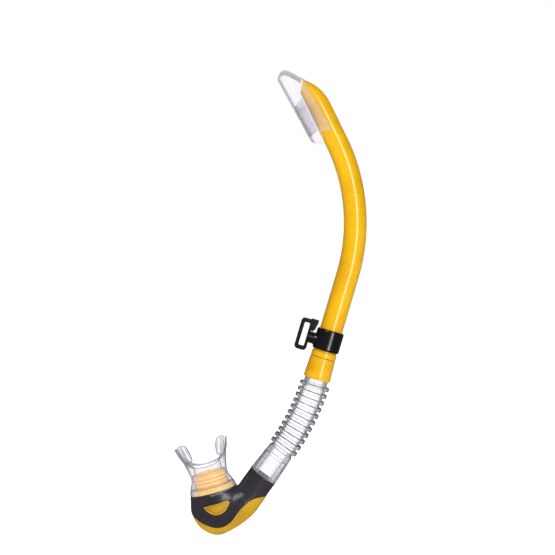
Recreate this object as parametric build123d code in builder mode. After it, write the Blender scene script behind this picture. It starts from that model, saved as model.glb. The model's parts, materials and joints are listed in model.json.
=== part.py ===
from build123d import *

import os
from math import cos, degrees, radians, sin, sqrt

# Semi-dry snorkel in the pose in which it hangs beside the head: curved barrel with a clear
# splash guard, strap keeper, swivel collar, corrugated hose, and an elbow chamber with a purge
# valve and a silicone mouthpiece.
# Millimetres, +Z up. The tube lies in the XZ plane and is the same on both sides of it.
# The origin is on the barrel axis, in the middle of the free straight stretch that is gripped.

# ---- driving dimensions ---------------------------------------------------------------------
BARREL_OD = 22.0
BARREL_ID = 19.0
LOWER_LEAN = 16.6            # degrees from upright of the barrel's straight lower stretch
UPPER_LEAN = 26.0            # degrees the other way at the top
GRIP_HALF = 28.0             # half of the free straight stretch
BARREL_BEND_R = 178.9
BARREL_FOOT = 70.0           # the barrel's end, below the origin, inside the swivel sleeve
HOOD_START = 38.0            # height above the bend where the top wall starts to curve over
HOOD_R = 39.0                # radius of that curve
HOOD_TOP = 68.6

KEEPER_OD = 26.4
KEEPER_TALL = 20.7
KEEPER_AT = 38.3             # middle of the keeper, below the origin
PIVOT_AT = 40.0              # the strap loop's pivot, below the origin
LUG_R = 5.6
LUG_FACE = 18.0              # distance of the lug's face from the barrel axis
SLOT_LONG = 22.9             # strap slot
SLOT_WIDE = 5.5
LOOP_THICK = 4.6

COLLAR_TOP = 49.5            # swivel collar, below the origin
COLLAR_SPLIT = 55.3
SLEEVE_END = 77.0
COLLAR_TOP_R = 12.35
SLEEVE_END_R = 13.25

HOSE_BEND_R = 228.0
HOSE_END_LEAN = 36.0
HOSE_R = 11.5
HOSE_BORE_R = 10.2
RIB_R = 14.75
RIB_COUNT = 11
RIB_PITCH = 6.6
RIB_WIDE = 3.4
RIB_FIRST = 7.0              # first rib's distance from the sleeve's end

CUFF_LONG = 30.2
CUFF_TOP_R = 12.8
TUBE_R = 14.15               # the chamber's tube end

WALL = 2.5                   # the chamber's wall
SKIN = 1.5                   # the purge cover's wall
SEAT_HALF_LONG = 22.9        # the mouthpiece's oval seat
SEAT_HALF_DEEP = 15.0
SEAT_LEAN = 15.0             # degrees from upright of the mouthpiece's axis
SADDLE_R = 38.8              # the seat's hollow from front to back
NECK_TOP = 17.9              # top of the rigid spigot inside the mouthpiece
MOUTH_BORE = (14.0, 8.8)

PURGE_DROP = 32.0            # underside of the purge valve's seat, below the mouthpiece's seat
PURGE_BORE_R = 9.45
PURGE_DISC_R = 8.5
PURGE_LIFT = 1.3

RUNNING_GAP = 0.06           # radial clearance of the parts that turn on the barrel


# ---- places ---------------------------------------------------------------------------------
def station(x, z, heading):
    """Plane across the tube at (x, z), its normal leaning heading degrees to the right of up."""
    lean = radians(heading)
    return Plane(origin=(x, 0, z), x_dir=(cos(lean), 0, -sin(lean)), z_dir=(sin(lean), 0, cos(lean)))


def side_view(x, z, heading):
    """Plane seen from the front at (x, z), with its Y axis leaning heading degrees to the right."""
    lean = radians(heading)
    return Plane(origin=(x, 0, z), x_dir=(cos(lean), 0, -sin(lean)), z_dir=(0, -1, 0))


def below(distance):
    """Point on the barrel's straight axis, this far below the origin."""
    lean = radians(LOWER_LEAN)
    return -distance * sin(lean), -distance * cos(lean)


def above_bend(height):
    """Point on the barrel's upper axis, this far above the end of its bend."""
    low = radians(LOWER_LEAN)
    high = radians(UPPER_LEAN)
    x, z = below(-GRIP_HALF)
    x += BARREL_BEND_R * (cos(high) - cos(low)) - height * sin(high)
    z += BARREL_BEND_R * (sin(high) + sin(low)) + height * cos(high)
    return x, z


def on_hose(distance):
    """Point on the hose's bend and its lean, this far along it from the sleeve's end."""
    start = radians(LOWER_LEAN)
    lean = start + distance / HOSE_BEND_R
    x, z = below(SLEEVE_END)
    x += HOSE_BEND_R * (cos(lean) - cos(start))
    z += HOSE_BEND_R * (sin(start) - sin(lean))
    return x, z, degrees(lean)


HOSE_BEND_LONG = HOSE_BEND_R * radians(HOSE_END_LEAN - LOWER_LEAN)


def below_hose(distance):
    """Point on the cuff's axis, this far below the end of the hose's bend."""
    x, z, lean = on_hose(HOSE_BEND_LONG)
    return x - distance * sin(radians(lean)), z - distance * cos(radians(lean))


def lower_plane(distance):
    return station(*below(distance), LOWER_LEAN)


def top_plane(height):
    return station(*above_bend(height), -UPPER_LEAN)


def cuff_plane(distance):
    return station(*below_hose(distance), HOSE_END_LEAN)


SEAT_X = -122.2
SEAT_Z = -181.6


def seat_plane(height):
    """Plane across the mouthpiece's axis, this far above its seat."""
    lean = radians(SEAT_LEAN)
    return station(SEAT_X - height * sin(lean), SEAT_Z + height * cos(lean), -SEAT_LEAN)


LOWER_SIDE = side_view(0, 0, LOWER_LEAN)
TOP_SIDE = side_view(*above_bend(0), -UPPER_LEAN)
CUFF_SIDE = side_view(*below_hose(0), HOSE_END_LEAN)
SEAT_SIDE = side_view(SEAT_X, SEAT_Z, -SEAT_LEAN)
LOWER_AXIS = Axis((0, 0, 0), lower_plane(0).z_dir)
CUFF_AXIS = Axis(cuff_plane(0).origin, cuff_plane(0).z_dir)


# ---- barrel ---------------------------------------------------------------------------------
def hood_form(inset):
    """The barrel's closed top: its outer wall curves over while the inner wall stays straight."""
    with BuildPart() as form:
        with BuildSketch(top_plane(HOOD_START)):
            Circle(BARREL_OD / 2 - inset)
        for height in (44, 51, 57, 63, HOOD_TOP):
            rise = height - HOOD_START
            right = BARREL_OD / 2 - HOOD_R + sqrt(HOOD_R ** 2 - rise ** 2)
            half = (right + BARREL_OD / 2) / 2
            depth = BARREL_OD / 2 - 0.0016 * rise ** 2
            with BuildSketch(top_plane(height)):
                with Locations(Location((right - half, 0), -90)):
                    Ellipse(depth - inset, half - inset)
        loft()
    return form.part


def barrel_run(radius):
    """Solid rod along the barrel's axis, from its foot to where the hood starts."""
    with BuildPart() as rod:
        with BuildLine(Plane.XZ):
            foot = below(BARREL_FOOT)
            bend_low = below(-GRIP_HALF)
            bend_high = above_bend(0)
            Line(foot, bend_low)
            RadiusArc(bend_low, bend_high, -BARREL_BEND_R)
            Line(bend_high, above_bend(HOOD_START))
        with BuildSketch(lower_plane(BARREL_FOOT)):
            Circle(radius)
        sweep()
    return rod.part


barrel_outside = barrel_run(BARREL_OD / 2)
barrel_inside = barrel_run(BARREL_ID / 2)
hood_outside = hood_form(0)
hood_inside = hood_form((BARREL_OD - BARREL_ID) / 2)

SNAP_AT = 66.6               # middle of the snap ring's groove
with BuildPart() as barrel:
    add(barrel_outside)
    add(hood_outside)
    add(barrel_inside, mode=Mode.SUBTRACT)
    add(hood_inside, mode=Mode.SUBTRACT)
    # oblique mouth, from the tip of the hood down to the inner wall
    with BuildSketch(TOP_SIDE):
        with BuildLine():
            Polyline((0, 72.2), (-15, 52.4), (-30, 60), (-20, 90), (0, 90), close=True)
        make_face()
    extrude(amount=20, both=True, mode=Mode.SUBTRACT)
    # groove for the snap ring near the foot
    with BuildSketch(LOWER_SIDE):
        with Locations((BARREL_OD / 2 + 0.25, -SNAP_AT)):
            Rectangle(2.0, 1.4)
    revolve(axis=LOWER_AXIS, mode=Mode.SUBTRACT)
barrel.part.label = "barrel"

# ---- splash guard and its baffle ------------------------------------------------------------
GUARD_R = 12.3               # half the guard's depth, front to back
GUARD_WALL = 1.25
GUARD_LOW_SPREAD = 9.2       # distance between the guard's two end circles, low and high
GUARD_HIGH_SPREAD = 13.6
GUARD_HIGH = 90.0


def guard_form(inset):
    """Long rounded box beside the barrel, wider at its top."""
    with BuildPart() as form:
        for height, spread in ((-6, GUARD_LOW_SPREAD), (GUARD_HIGH, GUARD_HIGH_SPREAD)):
            with BuildSketch(top_plane(height)):
                with Locations((-spread / 2, 0)):
                    SlotCenterToCenter(spread, 2 * (GUARD_R - inset))
        loft()
    return form.part


def guard_profile(inset, low):
    """The guard's outline from the side, closed below at the height low."""
    with BuildPart() as body:
        with BuildSketch(TOP_SIDE):
            with BuildLine():
                Spline(
                    (-27, 76.5 - inset),
                    (-16, 82.3 - inset),
                    (-7.4 - inset, 72.0),
                    (-2.6 - inset, 66.5),
                )
                Polyline(
                    (-2.6 - inset, 66.5),
                    (1.2 - inset, low),
                    (-30, low),
                    (-30, 76.5 - inset),
                    (-27, 76.5 - inset),
                )
            make_face()
        extrude(amount=20, both=True)
    return body.part


guard_outside = guard_form(0) & guard_profile(0, 4)
guard_inside = guard_form(GUARD_WALL) & guard_profile(GUARD_WALL, -4)

with BuildPart() as splash_guard:
    add(guard_outside)
    add(guard_inside, mode=Mode.SUBTRACT)
    add(barrel_outside, mode=Mode.SUBTRACT)
    add(hood_outside, mode=Mode.SUBTRACT)
    # drain rim: low beside the barrel, higher at the far edge and over the barrel
    with BuildSketch(TOP_SIDE):
        with BuildLine():
            rim = Spline((-24, 15.5), (-17.8, 7.3), (-11.1, 5.2))
            Polyline(rim @ 1, (-10.6, 13.8), (2.5, 9.8), (2.5, 0), (-24, 0), rim @ 0)
        make_face()
    extrude(amount=20, both=True, mode=Mode.SUBTRACT)
    # the space right of the barrel's middle stays open
    with BuildSketch(TOP_SIDE):
        with BuildLine():
            Polyline((0.8, 0), (-3.4, 70), (16, 70), (16, 0), close=True)
        make_face()
    extrude(amount=20, both=True, mode=Mode.SUBTRACT)
    # three small drain cuts across the outer edge
    for height in (29.5, 32.5, 35.5):
        with BuildSketch(TOP_SIDE):
            with Locations(Location((-23.4, height), 35)):
                Rectangle(5.0, 0.9)
        extrude(amount=3.4, both=True, mode=Mode.SUBTRACT)
splash_guard.part.label = "splash_guard"

BAFFLE_GAP = 0.3
BAFFLE_WALL = 1.1
baffle_outside = guard_form(GUARD_WALL + BAFFLE_GAP)
baffle_inside = guard_form(GUARD_WALL + BAFFLE_GAP + BAFFLE_WALL)
# cross web that turns the inflow, between the baffle's two side walls
with BuildPart() as baffle_web:
    with BuildSketch(TOP_SIDE):
        with Locations((-16.4, 43.0)):
            Rectangle(8.4, 1.2)
    extrude(amount=12, both=True)
    add(baffle_outside, mode=Mode.INTERSECT)
with BuildPart() as splash_baffle:
    add(baffle_outside)
    add(baffle_inside, mode=Mode.SUBTRACT)
    with BuildSketch(TOP_SIDE):
        with BuildLine():
            Polyline((-30, 15), (-20.5, 15.5), (-11.6, 19), (-11.6, 52), (-30, 44), close=True)
        make_face()
    extrude(amount=20, both=True, mode=Mode.INTERSECT)
    add(baffle_web.part)
splash_baffle.part.label = "splash_baffle"

# ---- strap keeper ---------------------------------------------------------------------------
with BuildPart() as keeper_ring:
    with BuildSketch(LOWER_SIDE):
        bore = BARREL_OD / 2 + RUNNING_GAP
        with BuildLine():
            low = -KEEPER_AT - KEEPER_TALL / 2
            high = -KEEPER_AT + KEEPER_TALL / 2
            outer = KEEPER_OD / 2
            FilletPolyline(
                (bore, low),
                (outer, low),
                (outer, high),
                (bore, high),
                radius=(outer - bore) * 0.9,
            )
            Line((bore, high), (bore, low))
        make_face()
    revolve(axis=LOWER_AXIS)
    # round lug that carries the loop's pivot, flaring into the ring
    lug_plane = Plane(origin=lower_plane(PIVOT_AT).origin, x_dir=(0, 1, 0), z_dir=-lower_plane(0).x_dir)
    with BuildSketch(lug_plane.offset(BARREL_OD / 2 - 1)):
        Circle(LUG_R + 1.6)
    with BuildSketch(lug_plane.offset(14.2)):
        Circle(LUG_R)
    loft()
    with BuildSketch(lug_plane.offset(14.2)):
        Circle(LUG_R)
    extrude(amount=LUG_FACE - 14.2)
    with BuildSketch(lower_plane(KEEPER_AT + 15)):
        Circle(bore)
    extrude(amount=30, mode=Mode.SUBTRACT)
    # hole for the pivot pin
    with BuildSketch(lug_plane.offset(12.0)):
        Circle(2.1)
    extrude(amount=10, mode=Mode.SUBTRACT)
keeper_ring.part.label = "keeper_ring"

LOOP_INNER = 18.3            # distances of the loop's two long edges from the barrel axis
LOOP_OUTER = 30.3
LOOP_TOP = 23.0              # its ends, below the origin
LOOP_END = 54.0
with BuildPart() as strap_loop:
    with BuildSketch(LOWER_SIDE):
        with Locations((-(LOOP_INNER + LOOP_OUTER) / 2, -(LOOP_TOP + LOOP_END) / 2)):
            RectangleRounded(LOOP_OUTER - LOOP_INNER, LOOP_END - LOOP_TOP, 3.4)
        # square shoulder at the loop's upper inner corner
        with BuildLine():
            Polyline(
                (-LOOP_INNER - 3, -22.0),
                (-13.9, -22.0),
                (-13.9, -26.0),
                (-16.3, -33.8),
                (-LOOP_INNER - 3, -33.8),
                close=True,
            )
        make_face()
        with Locations((-24.0, -38.5)):
            RectangleRounded(SLOT_WIDE, SLOT_LONG, 1.2, mode=Mode.SUBTRACT)
    extrude(amount=LOOP_THICK / 2, both=True)
    fillet(strap_loop.edges().filter_by(GeomType.LINE).group_by(SortBy.LENGTH)[-1], 0.6)
    # hub against the keeper's lug
    with BuildSketch(lug_plane.offset(LUG_FACE + 0.3)):
        Circle(LUG_R)
    extrude(amount=2.7)
    with BuildSketch(lug_plane.offset(LUG_FACE)):
        Circle(1.6)
    extrude(amount=2.4, mode=Mode.SUBTRACT)
    # grip ridges across the shoulder
    for step in range(5):
        with BuildSketch(LOWER_SIDE.offset(LOOP_THICK / 2)):
            with Locations((-16.2, -23.6 - 1.9 * step)):
                Rectangle(3.2, 0.8)
        extrude(amount=0.45)
        with BuildSketch(LOWER_SIDE.offset(-LOOP_THICK / 2)):
            with Locations((-16.2, -23.6 - 1.9 * step)):
                Rectangle(3.2, 0.8)
        extrude(amount=-0.45)
strap_loop.part.label = "strap_loop"

with BuildPart() as keeper_pivot_pin:
    with BuildSketch(lug_plane.offset(12.1)):
        Circle(2.05)
    extrude(amount=5.6)
    with BuildSketch(lug_plane.offset(17.7)):
        Circle(1.55)
    extrude(amount=2.6)
keeper_pivot_pin.part.label = "keeper_pivot_pin"


# ---- swivel collar --------------------------------------------------------------------------
def ring_on_barrel(points):
    """Ring turned about the lower axis from (radius, distance below the origin) corners."""
    with BuildPart() as ring:
        with BuildSketch(LOWER_SIDE):
            with BuildLine():
                Polyline(*[(radius, -distance) for radius, distance in points], close=True)
            make_face()
        revolve(axis=LOWER_AXIS)
    return ring.part


RUN_R = BARREL_OD / 2 + RUNNING_GAP
collar_blank = ring_on_barrel([
    (BARREL_OD / 2, COLLAR_TOP),
    (COLLAR_TOP_R - 0.9, COLLAR_TOP),
    (COLLAR_TOP_R - 0.1, COLLAR_TOP + 1.0),
    (COLLAR_TOP_R, COLLAR_SPLIT - 0.7),
    (COLLAR_TOP_R - 0.6, COLLAR_SPLIT),
    (BARREL_OD / 2, COLLAR_SPLIT),
])
with BuildPart() as swivel_ring:
    add(collar_blank)
swivel_ring.part.label = "swivel_ring"

O_RING_AT = 60.5
sleeve_blank = ring_on_barrel([
    (RUN_R, COLLAR_SPLIT + 0.3),
    (COLLAR_TOP_R - 0.6, COLLAR_SPLIT + 0.3),
    (COLLAR_TOP_R, COLLAR_SPLIT + 1.0),
    (SLEEVE_END_R, SLEEVE_END - 0.6),
    (SLEEVE_END_R - 0.6, SLEEVE_END),
    (HOSE_R + 0.2, SLEEVE_END),
    (HOSE_R + 0.2, BARREL_FOOT + 1.4),
    (RUN_R, BARREL_FOOT + 0.6),
    (RUN_R, SNAP_AT + 0.95),
    (RUN_R + 0.6, SNAP_AT + 0.95),
    (RUN_R + 0.6, SNAP_AT - 0.95),
    (RUN_R, SNAP_AT - 0.95),
    (RUN_R, O_RING_AT + 1.05),
    (RUN_R + 0.65, O_RING_AT + 1.05),
    (RUN_R + 0.65, O_RING_AT - 1.05),
    (RUN_R, O_RING_AT - 1.05),
])
with BuildPart() as swivel_sleeve:
    add(sleeve_blank)
    # short grip marks round the lower end
    for turn in range(0, 360, 30):
        grip_plane = lower_plane(SLEEVE_END - 4.6).rotated((0, 0, turn))
        with BuildSketch(grip_plane):
            with Locations((SLEEVE_END_R + 0.1, 0)):
                Rectangle(0.9, 1.5)
        extrude(amount=6.0, mode=Mode.SUBTRACT)
swivel_sleeve.part.label = "swivel_sleeve"

with BuildPart() as swivel_o_ring:
    add(ring_on_barrel([
        (RUN_R - 0.02, O_RING_AT - 0.6),
        (RUN_R + 0.25, O_RING_AT - 0.95),
        (RUN_R + 0.6, O_RING_AT - 0.6),
        (RUN_R + 0.6, O_RING_AT + 0.6),
        (RUN_R + 0.25, O_RING_AT + 0.95),
        (RUN_R - 0.02, O_RING_AT + 0.6),
    ]))
swivel_o_ring.part.label = "swivel_o_ring"

with BuildPart() as swivel_snap_ring:
    add(ring_on_barrel([
        (BARREL_OD / 2 - 0.7, SNAP_AT - 0.6),
        (RUN_R + 0.5, SNAP_AT - 0.6),
        (RUN_R + 0.5, SNAP_AT + 0.6),
        (BARREL_OD / 2 - 0.7, SNAP_AT + 0.6),
    ]))
    with BuildSketch(lower_plane(SNAP_AT)):
        with Locations((BARREL_OD / 2, 0)):
            Rectangle(4.0, 3.0)
    extrude(amount=2.0, both=True, mode=Mode.SUBTRACT)
swivel_snap_ring.part.label = "swivel_snap_ring"

SPIGOT_BORE_R = 8.4
SPIGOT_R = 9.6
with BuildPart() as upper_hose_spigot:
    add(ring_on_barrel([
        (SPIGOT_BORE_R, BARREL_FOOT + 1.5),
        (HOSE_R + 0.15, BARREL_FOOT + 1.5),
        (HOSE_R + 0.15, BARREL_FOOT + 4.1),
        (SPIGOT_R, BARREL_FOOT + 4.1),
        (SPIGOT_R, 78.0),
        (SPIGOT_R + 0.25, 78.0),
        (SPIGOT_R, 80.0),
        (SPIGOT_R, 82.0),
        (SPIGOT_R + 0.2, 82.0),
        (SPIGOT_R, 84.0),
        (SPIGOT_R, 86.0),
        (SPIGOT_BORE_R, 86.0),
    ]))
upper_hose_spigot.part.label = "upper_hose_spigot"

# ---- corrugated hose ------------------------------------------------------------------------
HOSE_TOP = BARREL_FOOT + 4.3
HOSE_TAIL = 8.0              # plain end held in the cuff


def hose_run(radius):
    """Solid rod along the hose's axis."""
    with BuildPart() as rod:
        with BuildLine(Plane.XZ):
            start = below(HOSE_TOP)
            bend_start = below(SLEEVE_END)
            bend_end = below_hose(0)
            Line(start, bend_start)
            RadiusArc(bend_start, bend_end, HOSE_BEND_R)
            Line(bend_end, below_hose(HOSE_TAIL))
        with BuildSketch(lower_plane(HOSE_TOP)):
            Circle(radius)
        sweep()
    return rod.part


hose_outside = hose_run(HOSE_R)
hose_inside = hose_run(HOSE_BORE_R)
with BuildPart() as flex_hose:
    add(hose_outside)
    for rib in range(RIB_COUNT):
        rib_x, rib_z, rib_lean = on_hose(RIB_FIRST + rib * RIB_PITCH)
        with BuildSketch(station(rib_x, rib_z, rib_lean)):
            Circle(RIB_R)
        extrude(amount=RIB_WIDE / 2, both=True)
    add(hose_inside, mode=Mode.SUBTRACT)
flex_hose.part.label = "flex_hose"


def ring_on_cuff(points):
    """Ring turned about the cuff's axis from (radius, distance below the hose's bend) corners."""
    with BuildPart() as ring:
        with BuildSketch(CUFF_SIDE):
            with BuildLine():
                Polyline(*[(radius, -distance) for radius, distance in points], close=True)
            make_face()
        revolve(axis=CUFF_AXIS)
    return ring.part


TAIL_POCKET = HOSE_TAIL + 1.0
CORE_R = 12.3                # the lower spigot's thick middle, inside the cuff
with BuildPart() as hose_cuff:
    add(ring_on_cuff([
        (HOSE_R + 0.1, 0.2),
        (CUFF_TOP_R - 1.0, 0.2),
        (CUFF_TOP_R, 1.4),
        (TUBE_R, CUFF_LONG - 0.1),
        (CORE_R + 0.05, CUFF_LONG - 0.1),
        (CORE_R + 0.05, TAIL_POCKET),
        (HOSE_R + 0.1, TAIL_POCKET),
    ]))
hose_cuff.part.label = "hose_cuff"

core_groove_corners = []
for groove in range(5):
    top = TAIL_POCKET + 2.6 + 3.6 * groove
    core_groove_corners += [
        (CORE_R, top),
        (CORE_R - 0.5, top + 0.6),
        (CORE_R - 0.5, top + 1.4),
        (CORE_R, top + 2.0),
    ]
with BuildPart() as lower_hose_spigot:
    add(ring_on_cuff([
        (SPIGOT_BORE_R, 0.6),
        (SPIGOT_R, 0.6),
        (SPIGOT_R + 0.5, 2.4),
        (SPIGOT_R, 4.2),
        (SPIGOT_R, TAIL_POCKET + 0.1),
        (CORE_R, TAIL_POCKET + 0.1),
        *core_groove_corners,
        (CORE_R, CUFF_LONG - 0.1),
        (TUBE_R - WALL - 0.1, CUFF_LONG - 0.1),
        (TUBE_R - WALL - 0.1, CUFF_LONG + 6.0),
        (SPIGOT_BORE_R + 1.2, CUFF_LONG + 6.0),
        (SPIGOT_BORE_R + 0.4, CUFF_LONG - 2.0),
    ]))
lower_hose_spigot.part.label = "lower_hose_spigot"

# ---- elbow chamber --------------------------------------------------------------------------
BULB_HALF = (26.0, 16.0, 24.0)       # half sizes of the round bottom under the seat
BULB_DROP = 19.5                     # its centre, below the seat
BULB_SHIFT = -1.0                    # and to the left of the seat's axis
TUBE_LONG = 46.0                     # from the tube's end to the centre of its round bottom


def elbow_form(inset):
    """Solid elbow: tube with a round end, oval seat and round bottom, thinner by inset."""
    bulb = scale(Sphere(1), by=tuple(half - inset for half in BULB_HALF))
    bulb = (seat_plane(-BULB_DROP).location * Pos(BULB_SHIFT, 0, 0)) * bulb
    with BuildPart() as form:
        with BuildSketch(cuff_plane(CUFF_LONG)):
            Circle(TUBE_R - inset)
        extrude(amount=-TUBE_LONG)
        with Locations(cuff_plane(CUFF_LONG + TUBE_LONG).origin):
            Sphere(TUBE_R - inset)
        with BuildSketch(seat_plane(0)):
            Ellipse(SEAT_HALF_LONG - inset, SEAT_HALF_DEEP - inset)
        extrude(amount=-BULB_DROP)
        add(bulb)
    return form.part


def saddle_form():
    """Cylinder across the seat, whose surface is the seat's hollow from front to back."""
    lean = radians(SEAT_LEAN)
    centre = seat_plane(-SADDLE_R).origin
    across = Plane(origin=centre, x_dir=(0, 1, 0), z_dir=(cos(lean), 0, sin(lean)))
    with BuildPart() as form:
        with BuildSketch(across):
            Circle(SADDLE_R)
        extrude(amount=40, both=True)
    return form.part


def cover_region(drop):
    """Everything under the wavy joint line between the chamber and its purge cover."""
    with BuildPart() as region:
        with BuildSketch(Plane.XZ):
            with BuildLine():
                wave = Spline(
                    (-152, -198.5 - drop),
                    (-141.2, -206.1 - drop),
                    (-129.6, -212.6 - drop),
                    (-116.8, -215.2 - drop),
                    (-105.8, -210.3 - drop),
                    (-95.6, -197.2 - drop),
                    (-84.2, -188.0 - drop),
                    (-71.7, -186.4 - drop),
                    (-58, -190.5 - drop),
                )
                Polyline(wave @ 1, (-58, -240), (-152, -240), wave @ 0)
            make_face()
        extrude(amount=25, both=True)
    return region.part


def badge_region(inset):
    """D-shaped prism through the chamber, its flat edge beside the mouthpiece's seat."""
    with BuildPart() as region:
        with BuildSketch(Plane.XZ):
            with BuildLine():
                left = (-131.4 + 1.6 * inset, -195.3 - 0.4 * inset)
                right = (-107.2 - 1.2 * inset, -188.4 - inset)
                Line(left, right)
                Spline(
                    right,
                    (-105.7 - inset, -191.2),
                    (-110.5 - 0.5 * inset, -199.4 + inset),
                    (-118.6, -202.7 + inset),
                    (-126.0 + 0.6 * inset, -200.6 + inset),
                    left,
                )
            make_face()
        extrude(amount=25, both=True)
    return region.part


BADGE_PROUD = 0.5
BADGE_SUNK = 0.8
elbow_outside = elbow_form(0)
elbow_recess = elbow_form(SKIN)
elbow_badge_out = elbow_form(-BADGE_PROUD)
elbow_badge_in = elbow_form(BADGE_SUNK)
saddle = saddle_form()
with BuildPart() as seat_block:
    with BuildSketch(seat_plane(-7)):
        with Locations((-2.4, 0)):
            Rectangle(53.0, 40.0)
    extrude(amount=14)
seat_trim = seat_block.part - saddle

cover_space = (elbow_outside - elbow_recess) & cover_region(0)
badge_pocket = (elbow_outside - elbow_badge_in) & badge_region(0)
boss_height = -PURGE_DROP + 2.0      # ledge that the valve's seat rests against
with BuildPart() as purge_boss:
    with BuildSketch(seat_plane(-46)):
        Circle(PURGE_BORE_R + 1.8)
    extrude(amount=46 + boss_height + 1.6)
purge_boss_inside = purge_boss.part & elbow_recess

chamber_block = elbow_outside - cover_space - badge_pocket
with BuildPart() as chamber_shell:
    add(chamber_block)
    # airway: down the tube, and down from the mouthpiece's seat
    with BuildSketch(cuff_plane(CUFF_LONG - 2)):
        Circle(TUBE_R - WALL)
    extrude(amount=-40, mode=Mode.SUBTRACT)
    with BuildSketch(seat_plane(2)):
        Ellipse(SEAT_HALF_LONG - WALL, SEAT_HALF_DEEP - WALL)
    extrude(amount=-25, mode=Mode.SUBTRACT)
    with BuildSketch(seat_plane(-22)):
        Ellipse(16.5, 12.3)
    extrude(amount=-9, mode=Mode.SUBTRACT)
    add(purge_boss_inside)
    # bore for the purge valve's seat, and the port above its ledge
    with BuildSketch(seat_plane(-50)):
        Circle(PURGE_BORE_R)
    extrude(amount=50 + boss_height, mode=Mode.SUBTRACT)
    with BuildSketch(seat_plane(-50)):
        Circle(PURGE_BORE_R - 1.3)
    extrude(amount=60 + boss_height, mode=Mode.SUBTRACT)
    add(seat_trim, mode=Mode.SUBTRACT)
chamber_shell.part.label = "chamber_shell"

cover_skin = cover_space & cover_region(0.3)
with BuildPart() as purge_cover:
    add(cover_skin)
    # outlet slots on the underside
    for offset_y in (-8.0, -3.2, 3.2, 8.0):
        with BuildSketch(seat_plane(-50)):
            with Locations((0, offset_y)):
                SlotOverall(16, 2.4)
        extrude(amount=20, mode=Mode.SUBTRACT)
purge_cover.part.label = "purge_cover"

badge_blank = (elbow_badge_out - elbow_badge_in) & badge_region(0.3)
with BuildPart() as badge_front:
    add(badge_blank)
    split(bisect_by=Plane.XZ, keep=Keep.TOP)
badge_front.part.label = "badge_front"
with BuildPart() as badge_back:
    add(badge_blank)
    split(bisect_by=Plane.XZ, keep=Keep.BOTTOM)
badge_back.part.label = "badge_back"

# ---- purge valve ----------------------------------------------------------------------------
HUB_R = 2.6
STEM_R = 1.05
with BuildPart() as purge_valve_seat:
    with BuildSketch(seat_plane(-PURGE_DROP)):
        Circle(PURGE_BORE_R - 0.05)
        Circle(PURGE_BORE_R - 2.6, mode=Mode.SUBTRACT)
        Circle(HUB_R)
        with PolarLocations(PURGE_BORE_R / 2, 4):
            Rectangle(PURGE_BORE_R - 2.0, 1.3)
        Circle(STEM_R + 0.05, mode=Mode.SUBTRACT)
    extrude(amount=1.95)
purge_valve_seat.part.label = "purge_valve_seat"

with BuildPart() as purge_valve:
    with BuildSketch(seat_plane(-PURGE_DROP - 0.9)):
        Circle(PURGE_DISC_R)
    extrude(amount=0.8)
    with BuildSketch(seat_plane(-PURGE_DROP - 0.5)):
        Circle(STEM_R)
    extrude(amount=4.4)
    with BuildSketch(seat_plane(-PURGE_DROP + 1.95 + PURGE_LIFT + 0.15)):
        Circle(1.9)
    with BuildSketch(seat_plane(-PURGE_DROP + 1.95 + PURGE_LIFT + 2.0)):
        Circle(0.9)
    loft()
purge_valve.part.label = "purge_valve"


# ---- mouthpiece and its spigot --------------------------------------------------------------
def oval_prism(half_long, half_deep, low, high):
    """Oval rod on the mouthpiece's axis between two heights over its seat."""
    with BuildPart() as prism:
        with BuildSketch(seat_plane(low)):
            Ellipse(half_long, half_deep)
        extrude(amount=high - low)
    return prism.part


FLANGE = (21.3, 13.5)
FLANGE_TOP = 4.4
flange_plate = oval_prism(*FLANGE, -4.5, FLANGE_TOP) - saddle
skirt = oval_prism(20.2, 12.3, -9, 1)
skirt_bore = oval_prism(18.7, 10.8, -10, -1)
neck_tube = oval_prism(16.0, 10.1, 0, NECK_TOP)
neck_bore = oval_prism(*MOUTH_BORE, -6, NECK_TOP + 2)
with BuildPart() as mouthpiece_spigot:
    add(flange_plate)
    add(skirt)
    add(neck_tube)
    # retaining ribs under the silicone
    for height in (7.0, 10.6, 14.2):
        with BuildSketch(seat_plane(height)):
            Ellipse(16.5, 10.6)
        extrude(amount=1.4)
    add(skirt_bore, mode=Mode.SUBTRACT)
    add(neck_bore, mode=Mode.SUBTRACT)
mouthpiece_spigot.part.label = "mouthpiece_spigot"

MOUTH_HEIGHT = 47.5
LIP_HALF_TALL = 13.5
with BuildPart() as neck_form:
    for height, half_long, half_deep in (
        (-4.5, 22.9, 15.0),
        (1.5, 22.9, 15.0),
        (8.0, 20.4, 13.6),
        (15.0, 18.1, 12.3),
        (21.0, 18.9, 12.6),
        (29.0, 22.0, 13.0),
    ):
        with BuildSketch(seat_plane(height)):
            Ellipse(half_long, half_deep)
    loft()

with BuildPart() as lip_block:
    with BuildSketch(SEAT_SIDE):
        with BuildLine():
            side = Spline((18.2, 16.0), (20.4, 26.0), (24.8, 36.0), (26.6, MOUTH_HEIGHT))
            Line(side @ 1, (-26.6, MOUTH_HEIGHT))
            Spline((-26.6, MOUTH_HEIGHT), (-24.8, 36.0), (-20.4, 26.0), (-18.2, 16.0))
            Line((-18.2, 16.0), (18.2, 16.0))
        make_face()
    extrude(amount=LIP_HALF_TALL, both=True)
with BuildPart() as lip_outline:
    with BuildSketch(seat_plane(10)):
        RectangleRounded(53.4, 2 * LIP_HALF_TALL, 10.5)
    extrude(amount=45)
with BuildPart() as mouth_space:
    with BuildSketch(SEAT_SIDE):
        with BuildLine():
            Spline(
                (-24.9, 52.0),
                (-24.3, 44.0),
                (-21.6, 36.0),
                (-13.0, 28.0),
                (0.0, 25.2),
                (13.0, 28.0),
                (21.6, 36.0),
                (24.3, 44.0),
                (24.9, 52.0),
            )
            Line((24.9, 52.0), (-24.9, 52.0))
        make_face()
    extrude(amount=20, both=True)


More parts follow.
